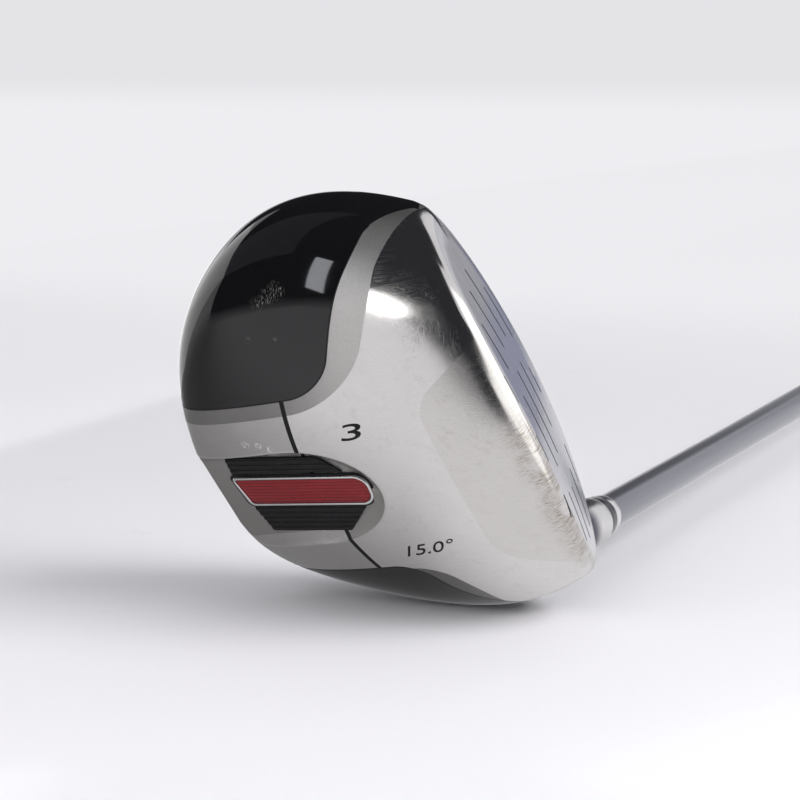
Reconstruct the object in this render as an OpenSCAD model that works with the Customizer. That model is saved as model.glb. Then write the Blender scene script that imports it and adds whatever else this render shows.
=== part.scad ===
// Hybrid golf club, laid down with its toe up.
// The head is described as at address: X to the toe, Y to the target, Z up.
// The club frame has the shaft along +Y, from the head to the butt of the grip.

/* [Club] */
// Length along the shaft, from the sole line to the butt end
club_len = 1092; // [1000:1:1150]
// Lie angle between the shaft and the ground at address
lie = 58; // [55:0.5:61]
// Loft angle of the face
loft = 15; // [12:0.5:19]
// Turn of the laid-down club about its shaft
roll = -13.4; // [-25:0.1:10]

/* [Head form] */
// Depth from the leading edge to the trailing edge
head_depth = 82.5; // [78:0.5:90]
// Reach of the toe, as four curve controls from the face to the back
toe_reach = [48.5, 73.5, 57, 75]; // [30:0.5:90]
// Reach of the heel, as four curve controls from the face to the back
heel_reach = [47.5, 75, 37, 76]; // [30:0.5:90]
// Height of the sole, as four curve controls from the face to the back
sole_height = [2, 3, 3, 9]; // [0:0.5:12]
// Height of the crown, as four curve controls from the face to the back
crown_height = [31, 46, 36, 20]; // [15:0.5:55]
// Height of the widest line on the toe side, from the face to the back
toe_girth = [22, 20.5, 16.5, 14]; // [10:0.5:26]
// Height of the widest line on the heel side, from the face to the back
heel_girth = [21, 19, 17.5, 11.5]; // [10:0.5:26]
// Sideways shift of the sections, from the face to the back
section_shift = [0, 0, 2.5, -2.5]; // [-5:0.5:5]
// Bulge radius of the face from heel to toe
bulge_r = 280; // [200:5:400]
// Roll radius of the face from sole to crown
face_roll_r = 300; // [200:5:400]
// Radius of the leading edge
sole_edge_r = 2.6; // [1.5:0.1:3.4]
// Radius of the top line
top_edge_r = 1.6; // [0.8:0.1:3]
// Radius of the face's ends
side_edge_r = 3; // [1.5:0.1:3.4]

/* [Walls] */
// Depth of the face cup's lip behind the face
lip_depth = 4.5; // [4:0.1:7]
// Thickness of the hitting face
face_wall = 2.6; // [2:0.1:3.4]
// Thickness of the toe and heel walls
side_wall = 1.4; // [1:0.1:3]
// Thickness of the sole
sole_wall = 3.2; // [2.8:0.1:3.6]
// Thickness of the crown
crown_wall = 0.9; // [0.7:0.1:2]
// Thickness of the back wall
back_wall = 2.4; // [2:0.1:5]
// Clearance at a weld or a bond
bond_gap = 0.1; // [0.05:0.01:0.2]

/* [Panels] */
// Height of the paint line between crown and body at the face
paint_line_front = 21.5; // [19:0.5:23]
// Height of the paint line at the trailing edge
paint_line_back = 14; // [12:0.5:16]
// Inner edge of the black toe skirt, from the middle of the face
toe_skirt_x = 21; // [16:0.5:26]
// Front corner of the black toe skirt, ahead of the trailing edge
toe_skirt_len = 42; // [36:0.5:48]
// Slope of the toe skirt's front edge
toe_skirt_slope = 27; // [15:1:40]
// Where that edge turns up to the toe, from the middle of the face
toe_skirt_turn_x = 44; // [38:0.5:48]
// Inner edge of the black heel skirt, from the middle of the face
heel_skirt_x = 30.5; // [26:0.5:34]
// Front corner of the black heel skirt, ahead of the trailing edge
heel_skirt_len = 39.5; // [34:0.5:44]
// Slope of the heel skirt's front edge
heel_skirt_slope = 22; // [10:1:35]
// Where that edge turns up to the heel, from the middle of the face
heel_skirt_turn_x = 43; // [38:0.5:46]
// Slope of both front edges past their turn
skirt_tip_slope = 50; // [40:1:60]
// Corner radius of the toe skirt
toe_skirt_corner_r = 8; // [4:0.5:10]
// Corner radius of the heel skirt
heel_skirt_corner_r = 5; // [2:0.5:8]
// Rearmost point of the seam, ahead of the trailing edge
seam_len = 28.2; // [25:0.1:33]
// Radius of the seam's long arc
seam_r = 95; // [80:1:140]
// Width of the seam
seam_w = 1.1; // [0.6:0.1:2]

/* [Sole recess] */
// Middle of the recess, from the middle of the face
recess_x = -6.3; // [-10:0.1:-2]
// Width of the recess at the back
recess_w = 28; // [27:0.5:32]
// Length of its rounded nose
recess_nose_len = 20.5; // [16:0.5:24]
// Front of the recess, ahead of the trailing edge
recess_len = 43; // [41:0.5:46]
// Depth of the recess at its front
recess_front_depth = 1.3; // [0.9:0.1:1.7]
// Slope of the recess floor
recess_slope = 4.5; // [3.5:0.1:5.5]
// Middle of the medallion, from the middle of the face
badge_x = -4.6; // [-6:0.1:-4]
// Back end of the medallion, ahead of the trailing edge
badge_end = 7.8; // [7:0.1:9]
// Turn of the medallion and its inserts
badge_turn = 5.5; // [3:0.5:7]
// Length of the medallion
badge_len = 33; // [30:0.5:33.5]
// Width of the medallion over its rim
badge_w = 8.4; // [7.6:0.1:8.8]
// How much the medallion's back end slants
badge_slant = 2; // [0:0.1:3]
// Corner radius of the medallion at its back
badge_corner_r = 1.4; // [1:0.1:2]
// Corner radius of the medallion at its front
badge_nose_r = 3.2; // [2:0.1:3.6]
// Width of the medallion's rim
badge_rim = 0.6; // [0.4:0.1:0.9]
// Height of the rim above its backing
badge_rim_h = 0.7; // [0.5:0.1:1]
// Thickness of the backing plate
backing_h = 0.4; // [0.3:0.1:0.6]
// How far the backing plate shows round the rim
backing_margin = 0.6; // [0.3:0.1:0.8]
// Height of the enamel above its backing
enamel_h = 0.5; // [0.3:0.1:0.6]
// Gap between the backing plate and the inserts
insert_gap = 0.2; // [0.1:0.1:0.5]
// Width of the upper insert
upper_insert_w = 4.4; // [3.6:0.1:4.8]
// Length of the upper insert along the medallion
upper_insert_len = 28; // [24:0.5:29]
// Back end of the upper insert, ahead of the medallion's
upper_insert_back = -0.5; // [-1:0.1:1]
// Width of the lower insert
lower_insert_w = 7.4; // [6:0.1:7.6]
// Length of the lower insert along the medallion
lower_insert_len = 28.7; // [25:0.1:29.5]
// Back end of the lower insert, ahead of the medallion's
lower_insert_back = 1.1; // [0.5:0.1:2]
// How much the lower insert's back end slants
lower_insert_slant = 2.2; // [0:0.1:3]
// How much shorter the upper insert's outer edge is in front
upper_insert_front = 1.8; // [1:0.1:6]
// How much shorter the lower insert's outer edge is in front
lower_insert_front = 6.5; // [4:0.1:8]
// Thickness of the inserts between their ribs
insert_h = 0.5; // [0.3:0.1:0.8]
// Distance between ribs, at least
rib_pitch = 1.45; // [1.2:0.05:1.8]
// Height of the ribs above the insert
rib_h = 0.3; // [0.2:0.1:0.6]
// Width of a rib
rib_w = 0.75; // [0.5:0.05:0.9]

/* [Hosel] */
// Place of the shaft axis on the ground, from the middle of the face to the heel
axis_heel = 31.7; // [29:0.1:34]
// Place of the shaft axis on the ground, behind the leading edge
axis_back = 20.8; // [18:0.1:23]
// Outer diameter of the hosel
hosel_d = 12.2; // [11.6:0.1:13.6]
// Top of the hosel along the shaft axis, from the sole line
hosel_top = 54.4; // [51:0.1:62]
// Length of the hosel tube
hosel_len = 35; // [33:0.5:38]
// Depth of the bore that takes the shaft
bore_depth = 30; // [25:0.5:32]
// Length of the ferrule
ferrule_len = 4.8; // [2:0.1:12]
// How far the ferrule stands proud of the trim ring
ferrule_lip = 0.3; // [0.1:0.1:0.6]
// Diameter of the trim ring
trim_d = 10; // [9.6:0.1:10.8]
// Length of the trim ring
trim_len = 3.6; // [1:0.1:5]

/* [Shaft] */
// Diameter of the parallel tip
tip_d = 8.5; // [8.3:0.1:8.9]
// Length of the parallel tip
tip_len = 130; // [100:1:180]
// Diameter at the butt
butt_d = 15.2; // [14.5:0.1:16]
// Wall of the shaft tube
shaft_wall = 1.5; // [1:0.1:2]
// Thickness of the epoxy in the bore
epoxy = 0.1; // [0.05:0.01:0.15]
// Length of the tip plug
plug_len = 8; // [5:0.5:12]
// Length of the swing weight
weight_len = 16; // [8:0.5:24]

/* [Grip] */
// Length of the grip with its cap
grip_len = 268; // [250:1:280]
// Diameter of the grip at its mouth
mouth_d = 19.5; // [18.5:0.1:21]
// Diameter of the grip at its cap
cap_d = 27; // [25:0.1:29]
// Length of the round cap
cap_len = 7; // [5:0.5:10]
// Thickness of the grip tape
tape_t = 0.25; // [0.15:0.05:0.4]
// Diameter of the vent hole
vent_d = 3.4; // [2.5:0.1:4.5]
// Number of groups of ring grooves on the grip
groove_groups = 5; // [3:1:7]
// Number of ring grooves in a group
groove_n = 3; // [1:1:4]
// Distance between the grooves of a group
groove_pitch = 4; // [3:0.1:6]
// Width of a ring groove
groove_w = 1.6; // [1:0.1:2.4]
// Depth of a ring groove
groove_depth = 0.7; // [0.3:0.1:1]

/* [Inside the head] */
// Angle round the section that the rear weight spans to each side
rear_weight_span = 40; // [20:5:50]
// Length of the rear weight from back to front
rear_weight_len = 10; // [6:0.5:14]
// Room between the rear weight and the back wall
rear_weight_back = 3; // [2:0.5:6]
// Height of the rear weight above the sole at the trailing edge
rear_weight_top = 6; // [5:0.5:9]
// Middle of the damping pad, behind the leading edge
pad_back = 27.5; // [24:0.5:32]
// Diameter of the damping pad
pad_d = 30; // [20:1:36]
// Thickness of the damping pad
pad_h = 2.5; // [1.5:0.1:4]

/* [Hidden] */
$fn = 48;

// Heights on the face from which loft and roll are measured
face_low = 3;
face_mid = 18;
// Roundness of the sections below and above the widest line
sole_power = 2.45;
crown_power = 2.2;
// Fullness of the plan outline towards the back
toe_fullness = 0.85;
heel_fullness = 0.63;
// Share of the depth over which loft and bulge fade out, and how early they do
fade_share = 0.95;
fade_power = 1.5;
// Rings of points on the face, as shares of its outline, and steps round its edge
face_shares = [0.2, 0.45, 0.7, 0.88];
edge_step = 30;
// Last section angle before the flat at the trailing edge
back_angle = 88;
// Least half height of a section, where the walls meet at the back
least_half_height = 0.4;
// Sections along the head and points round each section
section_n = 16;
round_n = 48;
// Steps round the nose of the recess
nose_step = 12;
// Rows of the rear weight and its steps round the section
rear_weight_rows = 4;
rear_weight_step = 5;
// A size beyond every head
far = 120;

solid_walls = [0, 0, 0, 0];
shell_walls = [side_wall, sole_wall, crown_wall, back_wall];
core_walls = [for (w = shell_walls) w + bond_gap];
lip_angle = asin(lip_depth / head_depth);
weld_angle = asin((lip_depth + bond_gap) / head_depth);

// Cubic curve through its first and last control
function curve(c, h) =
    c[0] * pow(1 - h, 3) + 3 * c[1] * h * pow(1 - h, 2) + 3 * c[2] * h * h * (1 - h) + c[3] * pow(h, 3);

function signed_power(x, p) = sign(x) * pow(abs(x), p);

// How far a rounded edge of radius r draws in at depth d behind the face
function edge_inset(d, r) = d < r ? r - sqrt(r * r - (r - d) * (r - d)) : 0;

// How far the lofted, bulged face lies behind the leading edge at a point
function face_back(x, z) =
    (z - face_low) * tan(loft) + x * x / (2 * bulge_r)
    + (pow(z - face_mid, 2) - pow(face_mid - face_low, 2)) / (2 * face_roll_r);

// Point of the head's skin, q degrees from the face to the back and v degrees round the section
function skin(q, v, walls = solid_walls) =
    let (h = q / 90,
         d = (head_depth - walls[3]) * sin(q),
         side = edge_inset(d, side_edge_r),
         toe = (curve(toe_reach, h) - walls[0]) * pow(cos(q), toe_fullness) - side,
         heel = (curve(heel_reach, h) - walls[0]) * pow(cos(q), heel_fullness) - side,
         low = curve(sole_height, h) + edge_inset(d, sole_edge_r) + walls[1],
         high = curve(crown_height, h) - edge_inset(d, top_edge_r) - walls[2],
         toe_z = curve(toe_girth, h),
         heel_z = curve(heel_girth, h),
         mid_z = (toe_z + heel_z) / 2,
         girth = mid_z + ((cos(v) >= 0 ? toe_z : heel_z) - mid_z) * abs(cos(v)),
         p = sin(v) < 0 ? sole_power : crown_power,
         reach = sin(v) < 0 ? max(girth - low, least_half_height) : max(high - girth, least_half_height),
         x = curve(section_shift, h) + (cos(v) >= 0 ? toe : heel) * signed_power(cos(v), 2 / p),
         z = girth + reach * signed_power(sin(v), 2 / p),
         fade = pow(max(0, 1 - sin(q) / fade_share), fade_power))
    [x, -d - fade * face_back(x, z), z];

// Height of the sole along its middle, at a depth behind the leading edge
function sole_low(d) = curve(sole_height, asin(d / head_depth) / 90);

function section(q, walls = solid_walls) = [for (i = [0:round_n - 1]) skin(q, i * 360 / round_n, walls)];

// Ring on the face at a share of its outline, moved back by the face's thickness
function face_ring(outline, share, back) =
    [for (p = outline)
        let (x = p.x * share, z = face_mid + (p.z - face_mid) * share)
        [x, -back - face_back(x, z), z]];

function body_angles() =
    [for (i = [0:section_n]) weld_angle + (back_angle - weld_angle) * sin(90 * i / section_n)];

function reversed(list) = [for (i = [len(list) - 1:-1:0]) list[i]];

function middle(loop) = [for (k = [0:2]) [for (p = loop) p[k]] * [for (p = loop) 1] / len(loop)];

// Head point in the club frame, with the shaft axis on Y
function in_club(p) =
    let (a = [p.y + axis_back, -p.x - axis_heel, p.z],
         b = [a.x, a.y * cos(lie) + a.z * sin(lie), a.z * cos(lie) - a.y * sin(lie)])
    [b.x * cos(roll) + b.z * sin(roll), b.y, b.z * cos(roll) - b.x * sin(roll)];

head_points = [for (q = concat([0, lip_angle], body_angles())) each [for (p = section(q)) in_club(p)]];
low_corner = [for (k = [0:2]) min([for (p = head_points) p[k]])];
high_corner = [for (k = [0:2]) max([for (p = head_points) p[k]])];
rest_shift = [-(low_corner.x + high_corner.x) / 2, -(low_corner.y + club_len) / 2, -low_corner.z];

// Closed solid from loops of points, each joined to the next, with both ends capped
module looped(loops) {
    n = len(loops[0]);
    last = (len(loops) - 1) * n;
    first_mid = last + n;
    points = concat([for (loop = loops) each loop], [middle(loops[0]), middle(loops[len(loops) - 1])]);
    sides = [for (k = [0:len(loops) - 2], i = [0:n - 1])
                let (a = k * n + i, b = k * n + (i + 1) % n)
                each [[a, b, b + n], [a, b + n, a + n]]];
    caps = [for (i = [0:n - 1])
                each [[first_mid, (i + 1) % n, i], [first_mid + 1, last + i, last + (i + 1) % n]]];
    polyhedron(points, concat(sides, caps));
}

module lay_down() translate(rest_shift) children();

module place_head() lay_down()
    rotate([0, roll, 0]) rotate([-lie, 0, 0]) rotate([0, 0, -90])
    translate([axis_heel, axis_back, 0]) children();

// Along the shaft axis, at a distance from the sole line
module on_axis(distance) lay_down() translate([0, distance, 0]) rotate([-90, 0, 0]) children();

// The same axis in the head's own frame
module on_head_axis(distance)
    translate([-axis_heel, -axis_back, 0]) rotate([0, lie - 90, 0]) translate([0, 0, distance]) children();

// Whole inside of the head, for what lies against its walls
module head_core() looped([for (q = body_angles()) section(q, core_walls)]);

// Hollow body behind the face cup, open to the front
module body_shell() looped(concat(
    [for (q = reversed(body_angles())) section(q)],
    [for (q = body_angles()) section(q, shell_walls)]));

// Upright prism over a plan outline with rounded corners
module plan_prism(points, corner_r) translate([0, 0, -far])
    linear_extrude(2 * far) offset(r = corner_r) offset(delta = -corner_r) polygon(points);

module above_paint_line() {
    slope = atan((paint_line_front - paint_line_back) / head_depth);
    translate([0, 0, paint_line_front]) rotate([slope, 0, 0]) translate([-far, -2 * far, 0])
        cube([2 * far, 3 * far, far]);
}

// Plan of a skirt: a straight inner edge and a front edge that turns up to the side
module skirt(inner_x, length, slope, turn_x, corner_r) {
    corner_y = length - head_depth;
    turn_y = corner_y + (turn_x - inner_x) * tan(slope);
    tip_y = turn_y + (far - turn_x) * tan(skirt_tip_slope);
    plan_prism([[inner_x, -far], [inner_x, corner_y], [turn_x, turn_y], [far, tip_y], [far, -far]], corner_r);
}

module black_zone() {
    above_paint_line();
    skirt(toe_skirt_x, toe_skirt_len, toe_skirt_slope, toe_skirt_turn_x, toe_skirt_corner_r);
    mirror([1, 0, 0])
        skirt(heel_skirt_x, heel_skirt_len, heel_skirt_slope, heel_skirt_turn_x, heel_skirt_corner_r);
}

// Region behind the seam, or behind its back edge when set back by its width
module behind_seam(set_back) translate([0, 0, -far]) linear_extrude(2 * far) difference() {
    translate([-far, -2 * far]) square(2 * far);
    translate([recess_x, seam_len - head_depth + seam_r]) circle(r = seam_r + set_back);
}

// Plane of the recess floor, raised by a height; the outside is towards -Z
module on_recess_floor(height) {
    nose_y = recess_len - head_depth;
    floor_z = sole_low(-nose_y) + recess_front_depth;
    translate([0, nose_y, floor_z]) rotate([-recess_slope, 0, 0]) translate([0, -nose_y, height]) children();
}

// Recess: straight sides from the back and a rounded nose
module recess_cut() {
    half = recess_w / 2;
    nose_start = recess_len - head_depth - recess_nose_len;
    on_recess_floor(-far) translate([recess_x, 0, 0]) linear_extrude(far)
        polygon(concat([[half, -far]],
                       [for (a = [0:nose_step:180]) [half * cos(a), nose_start + recess_nose_len * sin(a)]],
                       [[-half, -far]]));
}

module hosel_hole() on_head_axis(hosel_top - hosel_len) cylinder(d = hosel_d + 2 * bond_gap, h = far);

module face_cup() color("lightsteelblue") place_head() {
    rounding = [for (a = [0:edge_step:90]) asin(sole_edge_r * (1 - cos(a)) / head_depth)];
    back_row = section(asin(face_wall / head_depth), shell_walls);
    looped(concat(
        [for (s = face_shares) face_ring(section(0), s, 0)],
        [for (q = rounding) section(q)],
        [section(lip_angle), section(lip_angle, shell_walls), back_row],
        [for (s = reversed(face_shares)) face_ring(back_row, s, face_wall)]));
}

module front_body() color("silver") place_head() difference() {
    body_shell();
    black_zone();
    behind_seam(0);
    recess_cut();
    hosel_hole();
}

module rear_sole() color("darkgray") place_head() difference() {
    intersection() {
        body_shell();
        behind_seam(seam_w);
    }
    black_zone();
    recess_cut();
}

module seam_fill() color("black") place_head() difference() {
    intersection() {
        body_shell();
        behind_seam(0);
    }
    behind_seam(seam_w);
    black_zone();
    recess_cut();
}

module crown_shell() color("black") place_head() difference() {
    intersection() {
        body_shell();
        black_zone();
    }
    hosel_hole();
}

// Middle of the medallion's back end on the recess floor, with its long axis along Y
module at_badge(height) on_recess_floor(height)
    translate([badge_x, badge_end - head_depth + badge_len / 2, 0]) rotate(badge_turn)
    translate([0, -badge_len / 2, 0]) children();

// Outline of the medallion, drawn in by an inset or grown by a negative one
module badge_plan(inset) offset(delta = -inset) hull() for (side = [-1, 1]) {
    translate([side * (badge_w / 2 - badge_corner_r), badge_corner_r - side * badge_slant / 2])
        circle(r = badge_corner_r);
    translate([side * (badge_w / 2 - badge_nose_r), badge_len - badge_nose_r]) circle(r = badge_nose_r);
}

// Ribbed strip beside the medallion, on its +X side
module ribbed_insert(width, back, back_slant, length, front_slant) {
    rib_n = floor(width / rib_pitch);
    function back_y(across) = back + back_slant * across / width;
    function front_y(across) = back + length - front_slant * across / width;
    translate([badge_w / 2 + backing_margin + insert_gap, 0, -insert_h]) {
        linear_extrude(insert_h)
            polygon([[0, back_y(0)], [width, back_y(width)], [width, front_y(width)], [0, front_y(0)]]);
        for (i = [0:rib_n - 1]) {
            outer = (i + 1 / 2) * width / rib_n + rib_w / 2;
            translate([outer - rib_w, back_y(outer), -rib_h])
                cube([rib_w, front_y(outer) - back_y(outer), rib_h]);
        }
    }
}

module upper_insert() color("dimgray") place_head() at_badge(0)
    ribbed_insert(upper_insert_w, upper_insert_back, 0, upper_insert_len, upper_insert_front);

module lower_insert() color("dimgray") place_head() at_badge(0) mirror([1, 0, 0])
    ribbed_insert(lower_insert_w, lower_insert_back, lower_insert_slant, lower_insert_len,
                  lower_insert_front);

module badge_backing() color("black") place_head() at_badge(-backing_h)
    linear_extrude(backing_h) badge_plan(-backing_margin);

module badge_rim_ring() color("silver") place_head() at_badge(-backing_h - badge_rim_h)
    linear_extrude(badge_rim_h) difference() {
        badge_plan(0);
        badge_plan(badge_rim);
    }

module badge_enamel() color("firebrick") place_head() at_badge(-backing_h - enamel_h)
    linear_extrude(enamel_h) badge_plan(badge_rim + bond_gap);

// Block cast to the inside of the sole: each loop runs along the sole and back at the block's top
module rear_weight() color("gray") place_head() {
    top_z = sole_height[3] + rear_weight_top;
    from = asin((head_depth - back_wall - rear_weight_back - rear_weight_len) / head_depth);
    to = asin((head_depth - back_wall - rear_weight_back) / head_depth);
    looped([for (i = [0:rear_weight_rows])
        let (sole_line = [for (v = [270 - rear_weight_span:rear_weight_step:270 + rear_weight_span])
                             skin(from + (to - from) * i / rear_weight_rows, v, core_walls)])
        concat(sole_line, [for (p = reversed(sole_line)) [p.x, p.y, top_z]])]);
}

module damping_pad() color("khaki") place_head() intersection() {
    head_core();
    translate([0, -pad_back, 0]) cylinder(d = pad_d, h = sole_low(pad_back) + sole_wall + pad_h);
}

// Turned piece: outline of [radius, distance along the axis]
module turned(outline) on_axis(0) rotate_extrude() polygon(outline);

// Tube between two distances with a radius and a bore at each end
module tube(from, to, outer, inner)
    turned([[inner[0], from], [outer[0], from], [outer[1], to], [inner[1], to]]);

bore_r = tip_d / 2 + epoxy + 2 * bond_gap;
shaft_start = hosel_top - bore_depth;
taper_start = shaft_start + tip_len;
shaft_end = club_len - cap_len;
ferrule_top = hosel_top + ferrule_len;
trim_top = ferrule_top + trim_len;
grip_start = club_len - grip_len;

// Shaft radius at a distance along the axis
function shaft_r(distance) =
    distance < taper_start ? tip_d / 2
    : (tip_d + (butt_d - tip_d) * (distance - taper_start) / (shaft_end - taper_start)) / 2;

module hosel() color("gainsboro") on_axis(0) difference() {
    translate([0, 0, hosel_top - hosel_len]) cylinder(d = hosel_d, h = hosel_len);
    translate([0, 0, shaft_start]) cylinder(r = bore_r, h = far);
}

module ferrule() color("black") tube(hosel_top, ferrule_top, [hosel_d / 2, trim_d / 2 + ferrule_lip],
                                     [tip_d / 2 + bond_gap, tip_d / 2 + bond_gap]);

module trim_ring() color("silver") tube(ferrule_top, trim_top, [trim_d, trim_d] / 2,
                                        [tip_d / 2 + bond_gap, tip_d / 2 + bond_gap]);

// A parallel tip, then one long taper to the butt
module shaft() color("slategray") turned([
    [tip_d / 2 - shaft_wall, shaft_start], [tip_d / 2, shaft_start], [tip_d / 2, taper_start],
    [butt_d / 2, shaft_end], [butt_d / 2 - shaft_wall, shaft_end], [tip_d / 2 - shaft_wall, taper_start]]);

module tip_bond() color("wheat") tube(shaft_start, hosel_top, [bore_r - bond_gap, bore_r - bond_gap],
                                      [tip_d / 2 + bond_gap, tip_d / 2 + bond_gap]);

tip_bore_r = tip_d / 2 - shaft_wall - bond_gap;

module swing_weight() color("goldenrod") on_axis(shaft_start) cylinder(r = tip_bore_r, h = weight_len);

module tip_plug() color("burlywood") on_axis(shaft_start + weight_len) cylinder(r = tip_bore_r, h = plug_len);

module grip_tape() color("beige") tube(grip_start, shaft_end,
    [shaft_r(grip_start) + bond_gap + tape_t, shaft_r(shaft_end) + bond_gap + tape_t],
    [shaft_r(grip_start) + bond_gap, shaft_r(shaft_end) + bond_gap]);

// Grip radius at a distance along the axis
function grip_r(distance) =
    (mouth_d + (cap_d - mouth_d) * (distance - grip_start) / (grip_len - cap_len)) / 2;

module grip() color("#202022") difference() {
    tube(grip_start, shaft_end, [mouth_d / 2, cap_d / 2],
         [shaft_r(grip_start) + tape_t + 2 * bond_gap, shaft_r(shaft_end) + tape_t + 2 * bond_gap]);
    for (g = [1:groove_groups], k = [0:groove_n - 1]) {
        from = grip_start + g * (grip_len - cap_len) / (groove_groups + 1) + k * groove_pitch;
        to = from + groove_w;
        tube(from, to, [cap_d, cap_d], [grip_r(from), grip_r(to)] - [groove_depth, groove_depth]);
    }
}

module grip_cap() color("#18181a") on_axis(shaft_end) difference() {
    cylinder(d = cap_d, h = cap_len);
    cylinder(d = vent_d, h = far, center = true);
}

face_cup();
front_body();
rear_sole();
seam_fill();
crown_shell();
upper_insert();
lower_insert();
badge_backing();
badge_rim_ring();
badge_enamel();
rear_weight();
damping_pad();
hosel();
ferrule();
trim_ring();
shaft();
tip_bond();
tip_plug();
swing_weight();
grip_tape();
grip();
grip_cap();
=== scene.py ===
from math import asin, cos, degrees, pi, radians, sin, tan

import bmesh
import bpy
import numpy as np
from mathutils import Matrix, Vector


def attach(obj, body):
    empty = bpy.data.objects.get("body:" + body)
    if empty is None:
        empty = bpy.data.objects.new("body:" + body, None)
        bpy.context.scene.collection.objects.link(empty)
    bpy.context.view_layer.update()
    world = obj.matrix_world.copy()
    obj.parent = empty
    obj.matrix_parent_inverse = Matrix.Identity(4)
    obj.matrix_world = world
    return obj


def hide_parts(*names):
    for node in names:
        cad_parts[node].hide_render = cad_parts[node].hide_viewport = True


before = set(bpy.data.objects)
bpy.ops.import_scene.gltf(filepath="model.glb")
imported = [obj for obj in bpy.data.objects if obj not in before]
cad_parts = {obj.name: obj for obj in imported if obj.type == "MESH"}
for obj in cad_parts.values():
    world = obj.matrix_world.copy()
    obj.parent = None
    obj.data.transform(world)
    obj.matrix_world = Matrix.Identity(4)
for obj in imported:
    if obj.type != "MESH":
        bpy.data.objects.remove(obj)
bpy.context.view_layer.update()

bpy.context.scene.view_settings.view_transform = "Standard"


# ------------------------------
# Camera, low in front of the head, where the photograph was taken.
# It looks past the sole and along the shaft, down by nine and a half degrees.
camera_place = (0.18747, -0.90532, 0.12119)
look_down, look_left = 9.54, 26.137
bpy.ops.object.select_all(action="DESELECT")
bpy.ops.object.camera_add(location=camera_place,
                          rotation=(radians(90 - look_down), 0, radians(look_left)))
camera = bpy.context.object
camera.data.sensor_width = 36
camera.data.lens = 87.781
bpy.context.scene.camera = camera


# ------------------------------
# Pale table with a backdrop that rises in one sweep, as in a small product studio.
# Both are matt paper, slightly lavender, with faint marks of use near the club.
# What reflections see of the table is a pale glow with a painted shadow of the club at its left
# and front, and the backdrop is painted a little darker higher up.
class Tone:
    """A shader socket that takes Python arithmetic, one Math node for each step."""

    def __init__(self, finish, socket):
        self.finish = finish
        self.socket = socket

    def step(self, operation, first, second):
        return self.finish.node("ShaderNodeMath", {"operation": operation}, {0: first, 1: second})

    def __add__(self, other):
        return self.step("ADD", self, other)

    def __sub__(self, other):
        return self.step("SUBTRACT", self, other)

    def __mul__(self, other):
        return self.step("MULTIPLY", self, other)

    def __rsub__(self, other):
        return self.step("SUBTRACT", other, self)

    __radd__ = __add__
    __rmul__ = __mul__


class Finish:
    """The node tree of a material or of the world, built node by node."""

    def __init__(self, owner):
        owner.use_nodes = True
        self.tree = owner.node_tree
        self.tree.nodes.clear()

    def node(self, kind, settings, inputs, output=0):
        node = self.tree.nodes.new(kind)
        for name, value in settings.items():
            setattr(node, name, value)
        for name, value in inputs.items():
            if isinstance(value, Tone):
                self.tree.links.new(value.socket, node.inputs[name])
            else:
                node.inputs[name].default_value = value
        return Tone(self, node.outputs[output]) if node.outputs else None

    def place(self, location=(0, 0, 0), turn=(0, 0, 0), scale=(1, 1, 1), start=None):
        """Coordinates measured from a place, turned to it and divided by a scale."""
        start = start or self.node("ShaderNodeTexCoord", {}, {}, "Object")
        return self.node("ShaderNodeMapping", {"vector_type": "TEXTURE"},
                         {"Vector": start, "Location": location, "Rotation": turn, "Scale": scale})

    def ray(self, kind):
        return self.node("ShaderNodeLightPath", {}, {}, f"Is {kind} Ray")

    def axis(self, vector, name):
        return self.node("ShaderNodeSeparateXYZ", {}, {"Vector": vector}, name)

    def noise(self, vector, scale, detail=2, rough=0.5):
        return self.node("ShaderNodeTexNoise", {},
                         {"Vector": vector, "Scale": scale, "Detail": detail, "Roughness": rough})

    def ramp(self, value, low, high):
        """A smooth rise from 0 at low to 1 at high, or a fall where low is the larger."""
        return self.node("ShaderNodeMapRange", {"interpolation_type": "SMOOTHSTEP"},
                         {"Value": value, "From Min": low, "From Max": high})

    def blend(self, share, first, second):
        """Colour that goes from first to second with the share."""
        colours = [c if isinstance(c, Tone) else (*c, 1) for c in (first, second)]
        return self.node("ShaderNodeMix", {"data_type": "RGBA"}, {0: share, 6: colours[0], 7: colours[1]}, 2)

    def bump(self, height, strength, depth):
        return self.node("ShaderNodeBump", {}, {"Height": height, "Strength": strength, "Distance": depth})

    def surface(self, colour, roughness, normal=None, metallic=0.0, specular=0.5, coat=0.0):
        inputs = {"Base Color": colour, "Roughness": roughness, "Metallic": metallic,
                  "Specular IOR Level": specular, "Coat Weight": coat, "Coat Roughness": 0.1}
        if normal:
            inputs["Normal"] = normal
        shader = self.node("ShaderNodeBsdfPrincipled", {}, inputs)
        self.node("ShaderNodeOutputMaterial", {}, {"Surface": shader})


def new_finish(name):
    """A new finish; its name is kept apart from the plain materials that come with the solids."""
    return Finish(bpy.data.materials.new("real_" + name))


def material(name):
    return bpy.data.materials["real_" + name]


paper = new_finish("table_paper")
paper_place = paper.place()
paper_grain = paper.noise(paper_place, 900, 3)
paper_marks = paper.ramp(paper.noise(paper_place, 34, 6, 0.7), 0.62, 0.80)
paper_matt = paper.node("ShaderNodeBsdfPrincipled", {}, {
    "Base Color": paper.blend(paper_marks, (0.80, 0.79, 0.82), (0.72, 0.71, 0.75)),
    "Roughness": 0.75 + paper_grain * 0.1,
    "Normal": paper.bump(paper_grain, 0.1, 0.0002)})
paper_x, paper_y, paper_z = (paper.axis(paper_place, letter) for letter in "XYZ")
paper_seen, paper_mirrored = paper.ray("Camera"), paper.ray("Glossy")
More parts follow.
